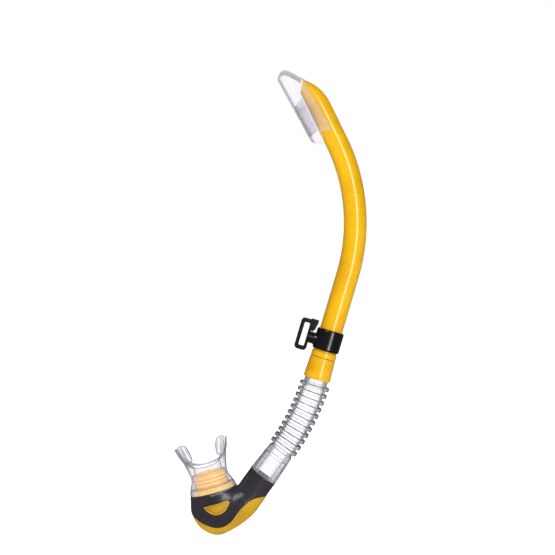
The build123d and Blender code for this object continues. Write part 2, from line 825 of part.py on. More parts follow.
def bite_tab(side):
    """Flat tab held between the teeth, with a raised rim along its inner edge."""
    with BuildPart() as tab:
        with BuildSketch(SEAT_SIDE):
            with BuildLine():
                FilletPolyline(
                    (side * 20.0, 30.5),
                    (side * 12.5, 29.6),
                    (side * 10.6, 34.0),
                    (side * 16.4, 49.6),
                    (side * 22.0, 50.2),
                    (side * 25.6, 46.0),
                    (side * 24.6, 38.0),
                    radius=1.6,
                    close=True,
                )
            make_face()
        extrude(amount=2.2, both=True)
        with BuildSketch(SEAT_SIDE):
            with BuildLine():
                FilletPolyline(
                    (side * 10.8, 33.0),
                    (side * 16.6, 49.2),
                    (side * 19.4, 48.6),
                    (side * 13.6, 32.0),
                    radius=1.0,
                    close=True,
                )
            make_face()
        extrude(amount=4.4, both=True)
    return tab.part


tab_left = bite_tab(-1)
tab_right = bite_tab(1)
lips = lip_block.part & lip_outline.part
lip_bore = oval_prism(*MOUTH_BORE, NECK_TOP - 1, 34)
spigot_pocket = oval_prism(16.6, 10.7, -6, NECK_TOP + 0.1)
flange_pocket = oval_prism(FLANGE[0] + 0.1, FLANGE[1] + 0.1, -6, FLANGE_TOP + 0.1)
with BuildPart() as mouthpiece:
    add(neck_form.part)
    add(lips)
    add(mouth_space.part, mode=Mode.SUBTRACT)
    add(tab_left)
    add(tab_right)
    add(lip_bore, mode=Mode.SUBTRACT)
    add(spigot_pocket, mode=Mode.SUBTRACT)
    add(flange_pocket, mode=Mode.SUBTRACT)
    add(saddle, mode=Mode.SUBTRACT)
mouthpiece.part.label = "mouthpiece"

# ---- export ---------------------------------------------------------------------------------
os.makedirs("parts", exist_ok=True)
export_step(barrel.part, "parts/barrel.step")
export_step(splash_guard.part, "parts/splash_guard.step")
export_step(splash_baffle.part, "parts/splash_baffle.step")
export_step(keeper_ring.part, "parts/keeper_ring.step")
export_step(strap_loop.part, "parts/strap_loop.step")
export_step(keeper_pivot_pin.part, "parts/keeper_pivot_pin.step")
export_step(swivel_ring.part, "parts/swivel_ring.step")
export_step(swivel_sleeve.part, "parts/swivel_sleeve.step")
export_step(swivel_o_ring.part, "parts/swivel_o_ring.step")
export_step(swivel_snap_ring.part, "parts/swivel_snap_ring.step")
export_step(upper_hose_spigot.part, "parts/upper_hose_spigot.step")
export_step(flex_hose.part, "parts/flex_hose.step")
export_step(hose_cuff.part, "parts/hose_cuff.step")
export_step(lower_hose_spigot.part, "parts/lower_hose_spigot.step")
export_step(chamber_shell.part, "parts/chamber_shell.step")
export_step(purge_cover.part, "parts/purge_cover.step")
export_step(badge_front.part, "parts/badge_front.step")
export_step(badge_back.part, "parts/badge_back.step")
export_step(purge_valve_seat.part, "parts/purge_valve_seat.step")
export_step(purge_valve.part, "parts/purge_valve.step")
export_step(mouthpiece_spigot.part, "parts/mouthpiece_spigot.step")
export_step(mouthpiece.part, "parts/mouthpiece.step")
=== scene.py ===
"""Snorkel tube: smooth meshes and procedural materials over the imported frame.
Sizes are millimetres in the shared frame until a mesh is made, which is in metres.
The lamps and the camera are set out in metres."""
import json
from math import cos, degrees, pi, radians, sin, sqrt

import bmesh
import bpy
from mathutils import Matrix, Vector


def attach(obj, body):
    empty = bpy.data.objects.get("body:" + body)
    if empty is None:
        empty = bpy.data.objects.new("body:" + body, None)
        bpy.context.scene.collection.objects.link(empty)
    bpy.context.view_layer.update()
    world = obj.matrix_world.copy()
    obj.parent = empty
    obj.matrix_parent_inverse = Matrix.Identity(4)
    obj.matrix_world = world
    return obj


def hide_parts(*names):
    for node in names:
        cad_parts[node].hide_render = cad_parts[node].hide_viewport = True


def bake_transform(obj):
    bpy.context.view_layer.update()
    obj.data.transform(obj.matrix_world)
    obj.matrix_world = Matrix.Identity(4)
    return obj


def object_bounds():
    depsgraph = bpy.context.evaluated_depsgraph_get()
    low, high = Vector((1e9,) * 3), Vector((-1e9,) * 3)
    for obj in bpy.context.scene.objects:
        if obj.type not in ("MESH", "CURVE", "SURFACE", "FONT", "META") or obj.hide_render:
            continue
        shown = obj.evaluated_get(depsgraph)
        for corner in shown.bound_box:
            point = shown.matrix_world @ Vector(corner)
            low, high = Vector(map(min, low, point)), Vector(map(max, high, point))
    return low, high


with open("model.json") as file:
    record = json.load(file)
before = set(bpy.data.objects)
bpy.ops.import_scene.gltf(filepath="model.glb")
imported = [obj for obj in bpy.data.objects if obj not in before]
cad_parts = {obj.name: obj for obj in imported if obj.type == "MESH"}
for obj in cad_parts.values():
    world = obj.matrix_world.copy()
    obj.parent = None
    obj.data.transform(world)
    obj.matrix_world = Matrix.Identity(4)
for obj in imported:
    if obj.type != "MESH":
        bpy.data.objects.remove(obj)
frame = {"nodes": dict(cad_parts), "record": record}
cad_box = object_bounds()

MM = 0.001
mounts = {mount["name"]: mount for mount in frame["record"]["mounts"]}


def in_mm(point):
    return Vector(point) / MM


def place(origin, up):
    """Matrix with Z along up, Y along the frame's Y, and X to the right across up."""
    up = Vector(up).normalized()
    depth = Vector((0, 1, 0))
    matrix = Matrix((depth.cross(up), depth, up)).transposed().to_4x4()
    matrix.translation = Vector(origin)
    return matrix


# ---- places, from the frame's mounts ----------------------------------------------------------
BITE_HEIGHT = 40.0           # the bite mount's height over the mouthpiece's seat
SLEEVE_END = 77.0            # the swivel sleeve's lower end, below the origin
HOSE_BEND_R = 228.0          # the arc that the hose's axis follows at rest
HOSE_END_LEAN = 36.0         # degrees from upright, at the hose's lower end
CUFF_LONG = 30.2             # from the end of that arc to the elbow's tube
TUBE_R = 14.15               # the elbow's round end, under the cuff

barrel_up = Vector(mounts["barrel_grip"]["axis"])
LOWER = place((0, 0, 0), barrel_up)
LOWER_LEAN = degrees(barrel_up.angle(Vector((0, 0, 1))))
mouth_up = Vector(mounts["bite"]["axis"])
SEAT = place(in_mm(mounts["bite"]["pos_m"]) - BITE_HEIGHT * mouth_up, mouth_up)
HOSE_BEND_LONG = HOSE_BEND_R * radians(HOSE_END_LEAN - LOWER_LEAN)


def on_hose(distance):
    """Place on the hose's axis, this far along it from the swivel sleeve's end."""
    bent = min(max(distance, 0), HOSE_BEND_LONG)
    start = radians(LOWER_LEAN)
    lean = start + bent / HOSE_BEND_R
    point = LOWER @ Vector((0, 0, -SLEEVE_END))
    point += HOSE_BEND_R * Vector((cos(lean) - cos(start), 0, sin(start) - sin(lean)))
    up = Vector((sin(lean), 0, cos(lean)))
    return place(point - (distance - bent) * up, up)


TUBE_END = on_hose(HOSE_BEND_LONG + CUFF_LONG)


# ---- curves -----------------------------------------------------------------------------------
def smooth_path(points, steps=8):
    """Points on one smooth curve through the given points, of any number of coordinates."""
    ends = [points[0], *points, points[-1]]
    path = []
    for i in range(len(points) - 1):
        before, start, end, after = ends[i:i + 4]
        for step in range(steps):
            t = step / steps
            path.append(tuple(
                b + 0.5 * t * (c - a + t * (2 * a - 5 * b + 4 * c - d + t * (3 * (b - c) + d - a)))
                for a, b, c, d in zip(before, start, end, after)
            ))
    path.append(tuple(points[-1]))
    return path


def rounded(corners, radius, steps=3):
    """Closed outline with each corner rounded."""
    outline = []
    for i, corner in enumerate(corners):
        here = Vector(corner)
        back = Vector(corners[i - 1]) - here
        ahead = Vector(corners[(i + 1) % len(corners)]) - here
        reach = min(radius, back.length * 0.45, ahead.length * 0.45)
        first = here + back.normalized() * reach
        last = here + ahead.normalized() * reach
        for step in range(steps + 1):
            t = step / steps
            outline.append(tuple((1 - t) ** 2 * first + 2 * t * (1 - t) * here + t ** 2 * last))
    return outline


def between(pairs, value):
    """Height on the curve through (place, height) pairs at the given place."""
    path = smooth_path(pairs)
    for (x0, y0), (x1, y1) in zip(path, path[1:]):
        if value <= x1:
            return y0 + (y1 - y0) * max(value - x0, 0) / max(x1 - x0, 1e-6)
    return path[-1][1]


# ---- meshes -----------------------------------------------------------------------------------
def mesh_object(name, points, faces):
    mesh = bpy.data.meshes.new(name)
    mesh.from_pydata([Vector(point) * MM for point in points], [], faces)
    mesh.validate()
    made = bpy.data.objects.new(name, mesh)
    bpy.context.scene.collection.objects.link(made)
    return made


def shell(name, rings):
    """Closed skin through rings of points, the last joined to the first."""
    count = len(rings[0])
    points = [point for ring in rings for point in ring]
    faces = []
    for i in range(len(rings)):
        low = i * count
        high = (i + 1) % len(rings) * count
        for j in range(count):
            k = (j + 1) % count
            faces.append((low + j, low + k, high + k, high + j))
    made = mesh_object(name, points, faces)
    outward(made)
    return made


def outward(made, weld=None):
    """Turns every face outward, after joining the points that lie within weld metres."""
    work = bmesh.new()
    work.from_mesh(made.data)
    if weld:
        bmesh.ops.remove_doubles(work, verts=work.verts, dist=weld)
    bmesh.ops.recalc_face_normals(work, faces=work.faces)
    work.to_mesh(made.data)
    work.free()


def prism(name, outline, half_depth=25.0, where=None):
    """Outline of (x, z) points, or of (x, y) points in a place, extruded both ways."""
    if where is None:
        front = [Vector((x, -half_depth, z)) for x, z in outline]
        back = [Vector((x, half_depth, z)) for x, z in outline]
    else:
        front = [where @ Vector((x, y, -half_depth)) for x, y in outline]
        back = [where @ Vector((x, y, half_depth)) for x, y in outline]
    count = len(outline)
    faces = [tuple(range(count)), tuple(range(2 * count - 1, count - 1, -1))]
    for j in range(count):
        k = (j + 1) % count
        faces.append((j, k, count + k, count + j))
    made = mesh_object(name, front + back, faces)
    outward(made)
    return made


def combine(made, tool, operation):
    """Applies a boolean and removes the tool."""
    change = made.modifiers.new(operation, "BOOLEAN")
    change.object = tool
    change.operation = operation
    change.solver = "EXACT"
    apply_modifiers(made)
    bpy.data.objects.remove(tool)


def apply_modifiers(made):
    graph = bpy.context.evaluated_depsgraph_get()
    graph.update()
    mesh = bpy.data.meshes.new_from_object(made.evaluated_get(graph))
    made.modifiers.clear()
    made.data = mesh


def soften(made, width, segments=2, angle=35.0):
    """Rounds the sharp edges."""
    change = made.modifiers.new("soft_edges", "BEVEL")
    change.width = width * MM
    change.segments = segments
    change.limit_method = "ANGLE"
    change.angle_limit = radians(angle)
    change.use_clamp_overlap = True
    apply_modifiers(made)


def show(made, material, body, stands_for=()):
    """Shades, paints and mounts a finished piece."""
    for face in made.data.polygons:
        face.use_smooth = True
    made.data.set_sharp_from_angle(angle=radians(38))
    made.data.materials.clear()
    made.data.materials.append(material)
    if body:
        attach(made, body)
    if stands_for:
        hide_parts(*stands_for)


def joined(name, parts):
    """One object from several closed meshes."""
    points = []
    faces = []
    for part in parts:
        base = len(points)
        points += [vertex.co / MM for vertex in part.data.vertices]
        faces += [tuple(base + i for i in face.vertices) for face in part.data.polygons]
        bpy.data.objects.remove(part)
    return mesh_object(name, points, faces)


# ---- materials --------------------------------------------------------------------------------
PLASTIC_IOR = 1.49
SILICONE_IOR = 1.43
WHITE = (1, 1, 1, 1)


def srgb(red, green, blue):
    """Linear colour from 0-255 screen values."""
    def linear(value):
        value /= 255
        return value / 12.92 if value <= 0.04045 else ((value + 0.055) / 1.055) ** 2.4
    return linear(red), linear(green), linear(blue), 1.0


class Surface:
    """A Principled material and the nodes that feed it."""

    def __init__(self, name):
        self.material = bpy.data.materials.new(name)
        self.material.use_nodes = True
        self.tree = self.material.node_tree
        self.shader = self.tree.nodes["Principled BSDF"]
        self.where = self.node("ShaderNodeTexCoord").outputs["Object"]

    def node(self, kind, **settings):
        made = self.tree.nodes.new(kind)
        for key, value in settings.items():
            setattr(made, key, value)
        return made

    def link(self, output, target):
        self.tree.links.new(output, target)

    def set(self, **values):
        for key, value in values.items():
            self.shader.inputs[key.replace("_", " ")].default_value = value

    def noise(self, scale, detail=3.0, stretch=None):
        made = self.node("ShaderNodeTexNoise")
        made.inputs["Scale"].default_value = scale
        made.inputs["Detail"].default_value = detail
        source = self.where
        if stretch:
            mapping = self.node("ShaderNodeMapping")
            mapping.inputs["Scale"].default_value = stretch
            self.link(source, mapping.inputs["Vector"])
            source = mapping.outputs["Vector"]
        self.link(source, made.inputs["Vector"])
        return made.outputs["Fac"]

    def ramp(self, source, stops):
        made = self.node("ShaderNodeValToRGB")
        ramp = made.color_ramp
        while len(ramp.elements) < len(stops):
            ramp.elements.new(0.5)
        for element, (position, colour) in zip(ramp.elements, stops):
            element.position = position
            element.color = colour
        self.link(source, made.inputs["Fac"])
        return made.outputs["Color"]

    def spread(self, source, low, high, start=0.3, end=0.7):
        made = self.node("ShaderNodeMapRange")
        made.inputs["From Min"].default_value = start
        made.inputs["From Max"].default_value = end
        made.inputs["To Min"].default_value = low
        made.inputs["To Max"].default_value = high
        self.link(source, made.inputs["Value"])
        return made.outputs["Result"]

    def bump(self, source, depth, strength=0.6):
        made = self.node("ShaderNodeBump")
        made.inputs["Strength"].default_value = strength
        made.inputs["Distance"].default_value = depth * MM
        self.link(source, made.inputs["Height"])
        self.link(made.outputs["Normal"], self.shader.inputs["Normal"])


def moulded(
    name, dark, mid, light, rough,
    coat=0.0, coat_tint=WHITE, grain=2600.0, grain_depth=0.02,
):
    """Opaque moulded plastic or rubber: cloudy colour, uneven gloss and a fine surface."""
    surface = Surface(name)
    cloud = surface.noise(38.0, 4.0)
    surface.link(
        surface.ramp(cloud, [(0.3, dark), (0.5, mid), (0.7, light)]),
        surface.shader.inputs["Base Color"],
    )
    wear = surface.noise(190.0, 6.0)
    surface.link(surface.spread(wear, rough * 0.8, rough * 1.25), surface.shader.inputs["Roughness"])
    surface.bump(surface.noise(grain, 2.0), grain_depth)
    surface.set(Coat_Weight=coat, Coat_Roughness=0.13, Coat_Tint=coat_tint, IOR=PLASTIC_IOR)
    return surface.material


def see_through(
    name, face, edge, clear, dense, rough,
    ripple=0.03, ripple_scale=260.0, turn=(0.25, 0.8),
):
    """Clear moulding: pale where it faces the eye, dark and dense where it turns away.
    Clear and dense are its two opacities, and turn says where one goes over into the other."""
    surface = Surface(name)
    turned = surface.node("ShaderNodeLayerWeight")
    turned.inputs["Blend"].default_value = 0.5
    facing = turned.outputs["Facing"]
    surface.link(
        surface.ramp(facing, [(0.0, face), (0.3, face), (0.72, edge)]),
        surface.shader.inputs["Base Color"],
    )
    haze = surface.noise(120.0, 4.0)
    hazed = surface.node("ShaderNodeMath", operation="MULTIPLY")
    surface.link(surface.spread(facing, clear, dense, *turn), hazed.inputs[0])
    surface.link(surface.spread(haze, 0.85, 1.15), hazed.inputs[1])
    surface.link(hazed.outputs["Value"], surface.shader.inputs["Alpha"])
    surface.link(surface.spread(haze, rough * 0.7, rough * 1.4), surface.shader.inputs["Roughness"])
    surface.bump(surface.noise(ripple_scale, 2.0), ripple)
    surface.set(IOR=SILICONE_IOR)
    return surface.material


DEEP_YELLOW = (0.74, 0.62, 0.32, 1)      # the gloss coat's tint, deepest at the edges

barrel_yellow = moulded(
    "barrel_yellow", srgb(231, 179, 4), srgb(239, 190, 7), srgb(246, 199, 12), 0.27,
    coat=0.7, coat_tint=DEEP_YELLOW, grain=900.0, grain_depth=0.01,
)
collar_yellow = moulded(
    "collar_yellow", srgb(224, 172, 8), srgb(235, 186, 16), srgb(243, 197, 30), 0.3,
    coat=0.6, coat_tint=DEEP_YELLOW,
)
keeper_black = moulded(
    "keeper_black", srgb(6, 6, 8), srgb(10, 10, 13), srgb(16, 16, 20), 0.24, coat=0.3,
)
charcoal = moulded(
    "charcoal", srgb(36, 34, 38), srgb(44, 41, 46), srgb(52, 48, 54), 0.25,
    grain=3200.0, grain_depth=0.03,
)
golden = moulded(
    "golden", srgb(180, 138, 3), srgb(196, 154, 6), srgb(210, 168, 14), 0.36,
    coat=0.4, coat_tint=DEEP_YELLOW, grain=3000.0, grain_depth=0.03,
)
spigot_yellow = moulded(
    "spigot_yellow", srgb(244, 198, 2), srgb(250, 210, 6), srgb(254, 220, 16), 0.35,
)

RIB_PLACES = ((7.0, 8.4), (10.6, 12.0), (14.2, 15.6))       # lower and upper edge, over the seat
NECK_TOP = 18.0                                              # the painted height, over the seat
FADE_UNDER_RIB = 0.9
FADE_OVER_RIB = 0.4
LIT_THROUGH = 0.42           # stands for the light that a translucent neck lets through


def neck_glow_and_shade():
    """Yellow with a painted glow of its own, to look translucent. Painted shade makes it deeper
    in the hollows between the neck's ribs."""
    surface = Surface("neck_glow_and_shade")
    into_node = frame["nodes"]["mouthpiece_spigot"].matrix_world.inverted()
    up = into_node.to_3x3() @ mouth_up
    along = surface.node("ShaderNodeVectorMath", operation="DOT_PRODUCT")
    surface.link(surface.where, along.inputs[0])
    along.inputs[1].default_value = up
    seat_at = up.dot(into_node @ (SEAT.translation * MM))
    height = surface.spread(along.outputs["Value"], 0, 1, seat_at, seat_at + NECK_TOP * MM)
    # painted shade: the deeper yellow lies in the hollows between the ribs, where shade falls
    pale = srgb(253, 216, 22)
    hollow_shade = srgb(224, 156, 2)
    stops = [(0.0, pale)]
    for low_edge, high_edge in RIB_PLACES:
        stops += [
            ((low_edge - FADE_UNDER_RIB) / NECK_TOP, hollow_shade),
            (low_edge / NECK_TOP, pale),
            (high_edge / NECK_TOP, pale),
            ((high_edge + FADE_OVER_RIB) / NECK_TOP, hollow_shade),
        ]
    stops.append((1.0, pale))
    shade_banded = surface.ramp(height, stops)
    clouded = surface.node("ShaderNodeMix", data_type="RGBA", blend_type="MULTIPLY")
    clouded.inputs["Factor"].default_value = 0.2
    surface.link(shade_banded, clouded.inputs["A"])
    cloud = surface.noise(60.0, 4.0)
    surface.link(
        surface.ramp(cloud, [(0.3, (0.8, 0.7, 0.5, 1)), (0.6, WHITE)]),
        clouded.inputs["B"],
    )
    # painted glow: the same colours also light the neck from within, though it is no lamp
    for socket in ("Base Color", "Emission Color"):
        surface.link(clouded.outputs["Result"], surface.shader.inputs[socket])
    wear = surface.noise(190.0, 6.0)
    surface.link(surface.spread(wear, 0.28, 0.42), surface.shader.inputs["Roughness"])
    surface.set(Emission_Strength=LIT_THROUGH, IOR=PLASTIC_IOR)
    return surface.material


black_rubber = moulded(
    "black_rubber", srgb(10, 10, 10), srgb(17, 17, 17), srgb(24, 24, 24), 0.6,
)
white_plastic = moulded(
    "white_plastic", srgb(225, 225, 221), srgb(233, 233, 230), srgb(240, 240, 238), 0.4,
)
pin_steel = moulded(
    "pin_steel", srgb(150, 151, 153), srgb(165, 166, 168), srgb(180, 181, 183), 0.3,
)
pin_steel.node_tree.nodes["Principled BSDF"].inputs["Metallic"].default_value = 1.0

clear_guard = see_through(
    "clear_guard", srgb(224, 222, 230), srgb(104, 100, 108), 0.1, 0.62, 0.1,
    ripple=0.02, turn=(0.35, 0.95),
)
frosted = see_through(
    "frosted", srgb(205, 202, 214), srgb(120, 114, 128), 0.5, 0.85, 0.5,
    ripple=0.05, ripple_scale=700.0,
)
clear_silicone = see_through(
    "clear_silicone", srgb(226, 222, 232), srgb(58, 52, 68), 0.07, 0.88, 0.2,
)
mouth_silicone = see_through(
    "mouth_silicone", srgb(200, 194, 206), srgb(112, 102, 124), 0.19, 0.8, 0.3,
    ripple=0.05, turn=(0.12, 0.75),
)
clear_inner = see_through(
    "clear_inner", srgb(236, 234, 240), srgb(96, 90, 102), 0.04, 0.7, 0.15,
    turn=(0.15, 0.6),
)
tab_silicone = see_through(
    "tab_silicone", srgb(208, 202, 212), srgb(110, 102, 118), 0.3, 0.9, 0.3,
    ripple=0.05, turn=(0.05, 0.6),
)

for node, material in {
    "barrel": barrel_yellow,
    "splash_guard": clear_guard,
    "splash_baffle": frosted,
    "keeper_ring": keeper_black,
    "strap_loop": keeper_black,
    "keeper_pivot_pin": pin_steel,
    "swivel_ring": collar_yellow,
    "swivel_sleeve": collar_yellow,
    "swivel_o_ring": black_rubber,
    "swivel_snap_ring": white_plastic,
    "upper_hose_spigot": clear_inner,
    "hose_cuff": clear_silicone,
    "lower_hose_spigot": clear_inner,
    "purge_valve_seat": spigot_yellow,
    "purge_valve": mouth_silicone,
    "mouthpiece_spigot": neck_glow_and_shade(),
}.items():
    mesh = frame["nodes"][node].data
    mesh.materials.clear()
    mesh.materials.append(material)


# ---- corrugated hose --------------------------------------------------------------------------
HOSE_R = 11.5
HOSE_BORE_R = 10.2
RIB_R = 14.7
RIB_HOLLOW_R = 13.7          # the groove inside each rib
RIB_HALF = 1.7
RIB_HOLLOW_HALF = 0.9
RIB_FIRST = 7.0              # distances along the hose's axis, from the sleeve's end
RIB_PITCH = 6.6
RIB_COUNT = 11
HOSE_HEAD = -2.7             # the hose starts inside the sleeve
HOSE_TAIL = 1.0              # and ends inside the cuff, this far past the arc
RIB_CORNER = 0.55


def hose_profile():
    """Closed (distance, radius) outline: down the outside over the ribs, back up the inside."""
    ribs = [RIB_FIRST + RIB_PITCH * i for i in range(RIB_COUNT)]
    end = HOSE_BEND_LONG + HOSE_TAIL
    outline = [(HOSE_HEAD, HOSE_R)]
    for rib in ribs:
        outline += [
            (rib - RIB_HALF, HOSE_R),
            (rib - RIB_HALF, RIB_R),
            (rib + RIB_HALF, RIB_R),
            (rib + RIB_HALF, HOSE_R),
        ]
    outline += [(end, HOSE_R), (end, HOSE_BORE_R)]
    for rib in reversed(ribs):
        outline += [
            (rib + RIB_HOLLOW_HALF, HOSE_BORE_R),
            (rib + RIB_HOLLOW_HALF, RIB_HOLLOW_R),
            (rib - RIB_HOLLOW_HALF, RIB_HOLLOW_R),
            (rib - RIB_HOLLOW_HALF, HOSE_BORE_R),
        ]
    outline.append((HOSE_HEAD, HOSE_BORE_R))
    return rounded(outline, RIB_CORNER)


def circle(where, radius, count=72):
    """Points round a place's Z axis."""
    return [
        where @ Vector((radius * cos(2 * pi * j / count), radius * sin(2 * pi * j / count), 0))
        for j in range(count)
    ]


hose = shell("corrugated_hose", [circle(on_hose(along), radius) for along, radius in hose_profile()])
show(hose, clear_silicone, None, ["flex_hose"])
on_hose(RIB_FIRST).translation * MM
on_hose(HOSE_BEND_LONG - 5).translation * MM
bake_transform(hose)

# ---- elbow chamber ----------------------------------------------------------------------------
SEAT_HALF_LONG = 22.9
SEAT_HALF_DEEP = 15.0
SADDLE_R = 38.8              # the seat's curve from front to back
CORNER = Vector((-98.75, 0, -175.3))     # the inside corner that the elbow turns round
CORNER_R = 1.3
WALL = 2.4                   # the chamber's wall
SKIN = 1.5                   # the cover's and the badges' thickness
JOINT_GAP = 0.35             # the dark line round the cover and the badges


def elbow_keys():
    """Cross-sections of the elbow: inner edge, outer edge and half depth, tube end to seat."""
    keys = []
    for down in (0.1, 6.0, 12.0):
        inner = TUBE_END @ Vector((-TUBE_R, 0, -down))
        outer = TUBE_END @ Vector((TUBE_R, 0, -down))
        keys.append((inner.x, inner.z, outer.x, outer.z, TUBE_R))
    # direction from the inside corner in degrees, distance to the outer edge, half depth
    for direction, reach, half_depth in (
        (-42, 30.4, 14.4),
        (-67, 34.2, 15.2),
        (-93, 43.0, 15.9),
        (-111, 53.3, 16.1),
        (-129, 55.8, 16.1),
        (-146, 53.2, 15.7),
    ):
        along = Vector((cos(radians(direction)), 0, sin(radians(direction))))
        inner = CORNER + CORNER_R * along
        outer = CORNER + reach * along
        keys.append((inner.x, inner.z, outer.x, outer.z, half_depth))
    for drop, bulge in ((5.0, 1.2), (0.0, 0.0)):
        inner = SEAT @ Vector((SEAT_HALF_LONG, 0, -drop / 2))
        outer = SEAT @ Vector((-SEAT_HALF_LONG - bulge, 0, -drop))
        keys.append((inner.x, inner.z, outer.x, outer.z, SEAT_HALF_DEEP))
    return keys


def saddle_drop(y):
    """How far the seat falls away towards its front and back."""
    return SADDLE_R - sqrt(SADDLE_R ** 2 - y ** 2)


def elbow_rings(inset, count=96):
    """Rings of points on the elbow's outside, moved in by the inset."""
    rings = []
    sections = smooth_path(elbow_keys(), 7)
    for number, (inner_x, inner_z, outer_x, outer_z, half_depth) in enumerate(sections):
        inner = Vector((inner_x, 0, inner_z))
        outer = Vector((outer_x, 0, outer_z))
        centre = (inner + outer) / 2
        along = (outer - inner).normalized()
        half_long = (outer - inner).length / 2 - inset
        ring = []
        for j in range(count):
            turn = 2 * pi * j / count
            y = (half_depth - inset) * sin(turn)
            point = centre + along * half_long * cos(turn) + Vector((0, y, 0))
            if number == len(sections) - 1:
                point -= mouth_up * saddle_drop(y)
            ring.append(point)
        rings.append(ring)
    return rings


def elbow_skin(name, outside, inside):
    """The elbow's wall between two insets, open at both ends."""
    return shell(name, elbow_rings(outside) + elbow_rings(inside)[::-1])


COVER_LEFT = -156            # the outline's far edges, all past the elbow
COVER_RIGHT = -58
COVER_BELOW = -240


def cover_outline(drop):
    """Everything under the wavy joint line between the chamber and its purge cover."""
    wave = [
        (COVER_LEFT, -196.0),
        (-141.2, -206.1),
        (-129.6, -212.6),
        (-116.8, -215.2),
        (-105.8, -210.3),
        (-95.6, -197.2),
        (-84.2, -188.0),
        (-71.7, -186.4),
        (COVER_RIGHT, -190.5),
    ]
    joint_line = smooth_path([(x, z - drop) for x, z in wave])
    return [*joint_line, (COVER_RIGHT, COVER_BELOW), (COVER_LEFT, COVER_BELOW)]


def badge_outline(inset):
    """D shape on its back, its flat edge beside the mouthpiece's seat."""
    corners = [
        (-131.4 + 1.6 * inset, -195.3 - 0.4 * inset),
        (-107.2 - 1.2 * inset, -188.4 - inset),
    ]
    belly = smooth_path([
        corners[1],
        (-105.7 - inset, -191.2),
        (-110.5 - 0.5 * inset, -199.4 + inset),
        (-118.6, -202.7 + inset),
        (-126.0 + 0.6 * inset, -200.6 + inset),
        corners[0],
    ])
    return [*belly[:-1], corners[0]]


# the chamber's outer wall, open where the cover and the badges lie
chamber = elbow_skin("chamber_shell_smooth", 0.0, WALL)
combine(chamber, prism("cover_cut", cover_outline(0.0)), "DIFFERENCE")
combine(chamber, prism("badge_cut", badge_outline(0.0)), "DIFFERENCE")
soften(chamber, width=0.35)

# its inner wall goes on under both, and runs a little past the outer wall's inside
LINER_GAP = 0.1
LINER_PAST = 0.4
liner = elbow_skin("chamber_liner", SKIN + LINER_GAP, WALL + LINER_PAST)

# the purge cover, with a row of outlet slots under the valve
OUTLET_PLACES = (-8.0, -3.2, 3.2, 8.0)   # from front to back
OUTLET_HALF_LONG = 8
OUTLET_HALF_WIDE = 1.2
OUTLET_CORNER = 1.1
OUTLET_DOWN = 50             # the slots' middle, under the mouthpiece's seat
OUTLET_HALF_CUT = 12.0


def outlet_slot(offset):
    """Cutter for one outlet slot, this far behind the elbow's middle."""
    near = offset - OUTLET_HALF_WIDE
    far = offset + OUTLET_HALF_WIDE
    corners = [
        (-OUTLET_HALF_LONG, near),
        (OUTLET_HALF_LONG, near),
        (OUTLET_HALF_LONG, far),
        (-OUTLET_HALF_LONG, far),
    ]
    middle = SEAT @ Matrix.Translation((0, 0, -OUTLET_DOWN))
    return prism("outlet", rounded(corners, OUTLET_CORNER), OUTLET_HALF_CUT, middle)


cover = elbow_skin("purge_cover_smooth", 0.0, SKIN)
combine(cover, prism("cover_keep", cover_outline(JOINT_GAP)), "INTERSECT")
for offset in OUTLET_PLACES:
    combine(cover, outlet_slot(offset), "DIFFERENCE")
soften(cover, width=0.4)
show(cover, golden, "chamber", ["purge_cover"])

chamber_whole = joined("chamber_body", [chamber, liner])
show(chamber_whole, charcoal, "chamber", ["chamber_shell"])

# the badges, front and back: a sunk plate, a proud rim and a plain bar
PLATE_SUNK = 0.8
RIM_PROUD = 0.6
RIM_INSIDE = 1.7
BAR_SUNK = 0.1
BAR_CORNER = 0.8
BAR_CORNERS = [(-124, -194.9), (-111, -191.4), (-112.4, -193.2), (-124.4, -196.6)]

badge_plate = elbow_skin("badge_plate", PLATE_SUNK, SKIN)
combine(badge_plate, prism("badge_keep", badge_outline(JOINT_GAP)), "INTERSECT")
badge_rim = elbow_skin("badge_rim", -RIM_PROUD, SKIN)
combine(badge_rim, prism("rim_keep", badge_outline(JOINT_GAP)), "INTERSECT")
combine(badge_rim, prism("rim_cut", badge_outline(RIM_INSIDE)), "DIFFERENCE")
badge_bar = elbow_skin("badge_motif", BAR_SUNK, SKIN)
combine(badge_bar, prism("motif_keep", rounded(BAR_CORNERS, BAR_CORNER)), "INTERSECT")
badges = joined("badges_both", [badge_plate, badge_rim, badge_bar])
soften(badges, width=0.2)
show(badges, golden, "chamber", ["badge_front", "badge_back"])

# ---- mouthpiece -------------------------------------------------------------------------------
MOUTH_TURNS = 96             # closed outlines round the mouthpiece's axis
RIM_LONG = 26.4              # the rim's half length and half depth
RIM_DEEP = 13.4
RIM_THICK = 2.2
RIM_SQUARE = 3.0             # 2 is an ellipse, more is boxier
WAIST = (18.9, 12.6, 21.0)   # half length, half depth and height over the seat
MOUTH_FOOT = (SEAT_HALF_LONG, SEAT_HALF_DEEP)
MOUTH_BORE = (14.0, 8.8)     # half length and half depth, here and in the pockets
NECK_POCKET = (16.7, 10.8)   # the hollow over the spigot's neck
FLANGE_POCKET = (21.4, 13.6)             # and the one over its flange
FLANGE_TOP = 4.6             # heights over the seat
POCKET_TOP = 18.1
BORE_TOP = 22.0
SEAT_GAP = 0.1

# height of the rim over the seat, at this distance from the mouth's middle
RIM_HEIGHTS = [
    (0, 25.2),
    (8, 26.1),
    (13, 28.0),
    (18, 31.8),
    (21.6, 36.4),
    (24.0, 42.0),
    (25.6, 46.0),
    (26.6, 47.3),
]


def oval(half_long, half_deep, height, turn, square=2.0, saddle=False):
    """Point on an oval over the seat; a higher square makes it boxier."""
    c, s = cos(turn), sin(turn)
    x = half_long * abs(c) ** (2 / square) * (1 if c >= 0 else -1)
    y = half_deep * abs(s) ** (2 / square) * (1 if s >= 0 else -1)
    return Vector((x, y, height - (saddle_drop(y) if saddle else 0)))


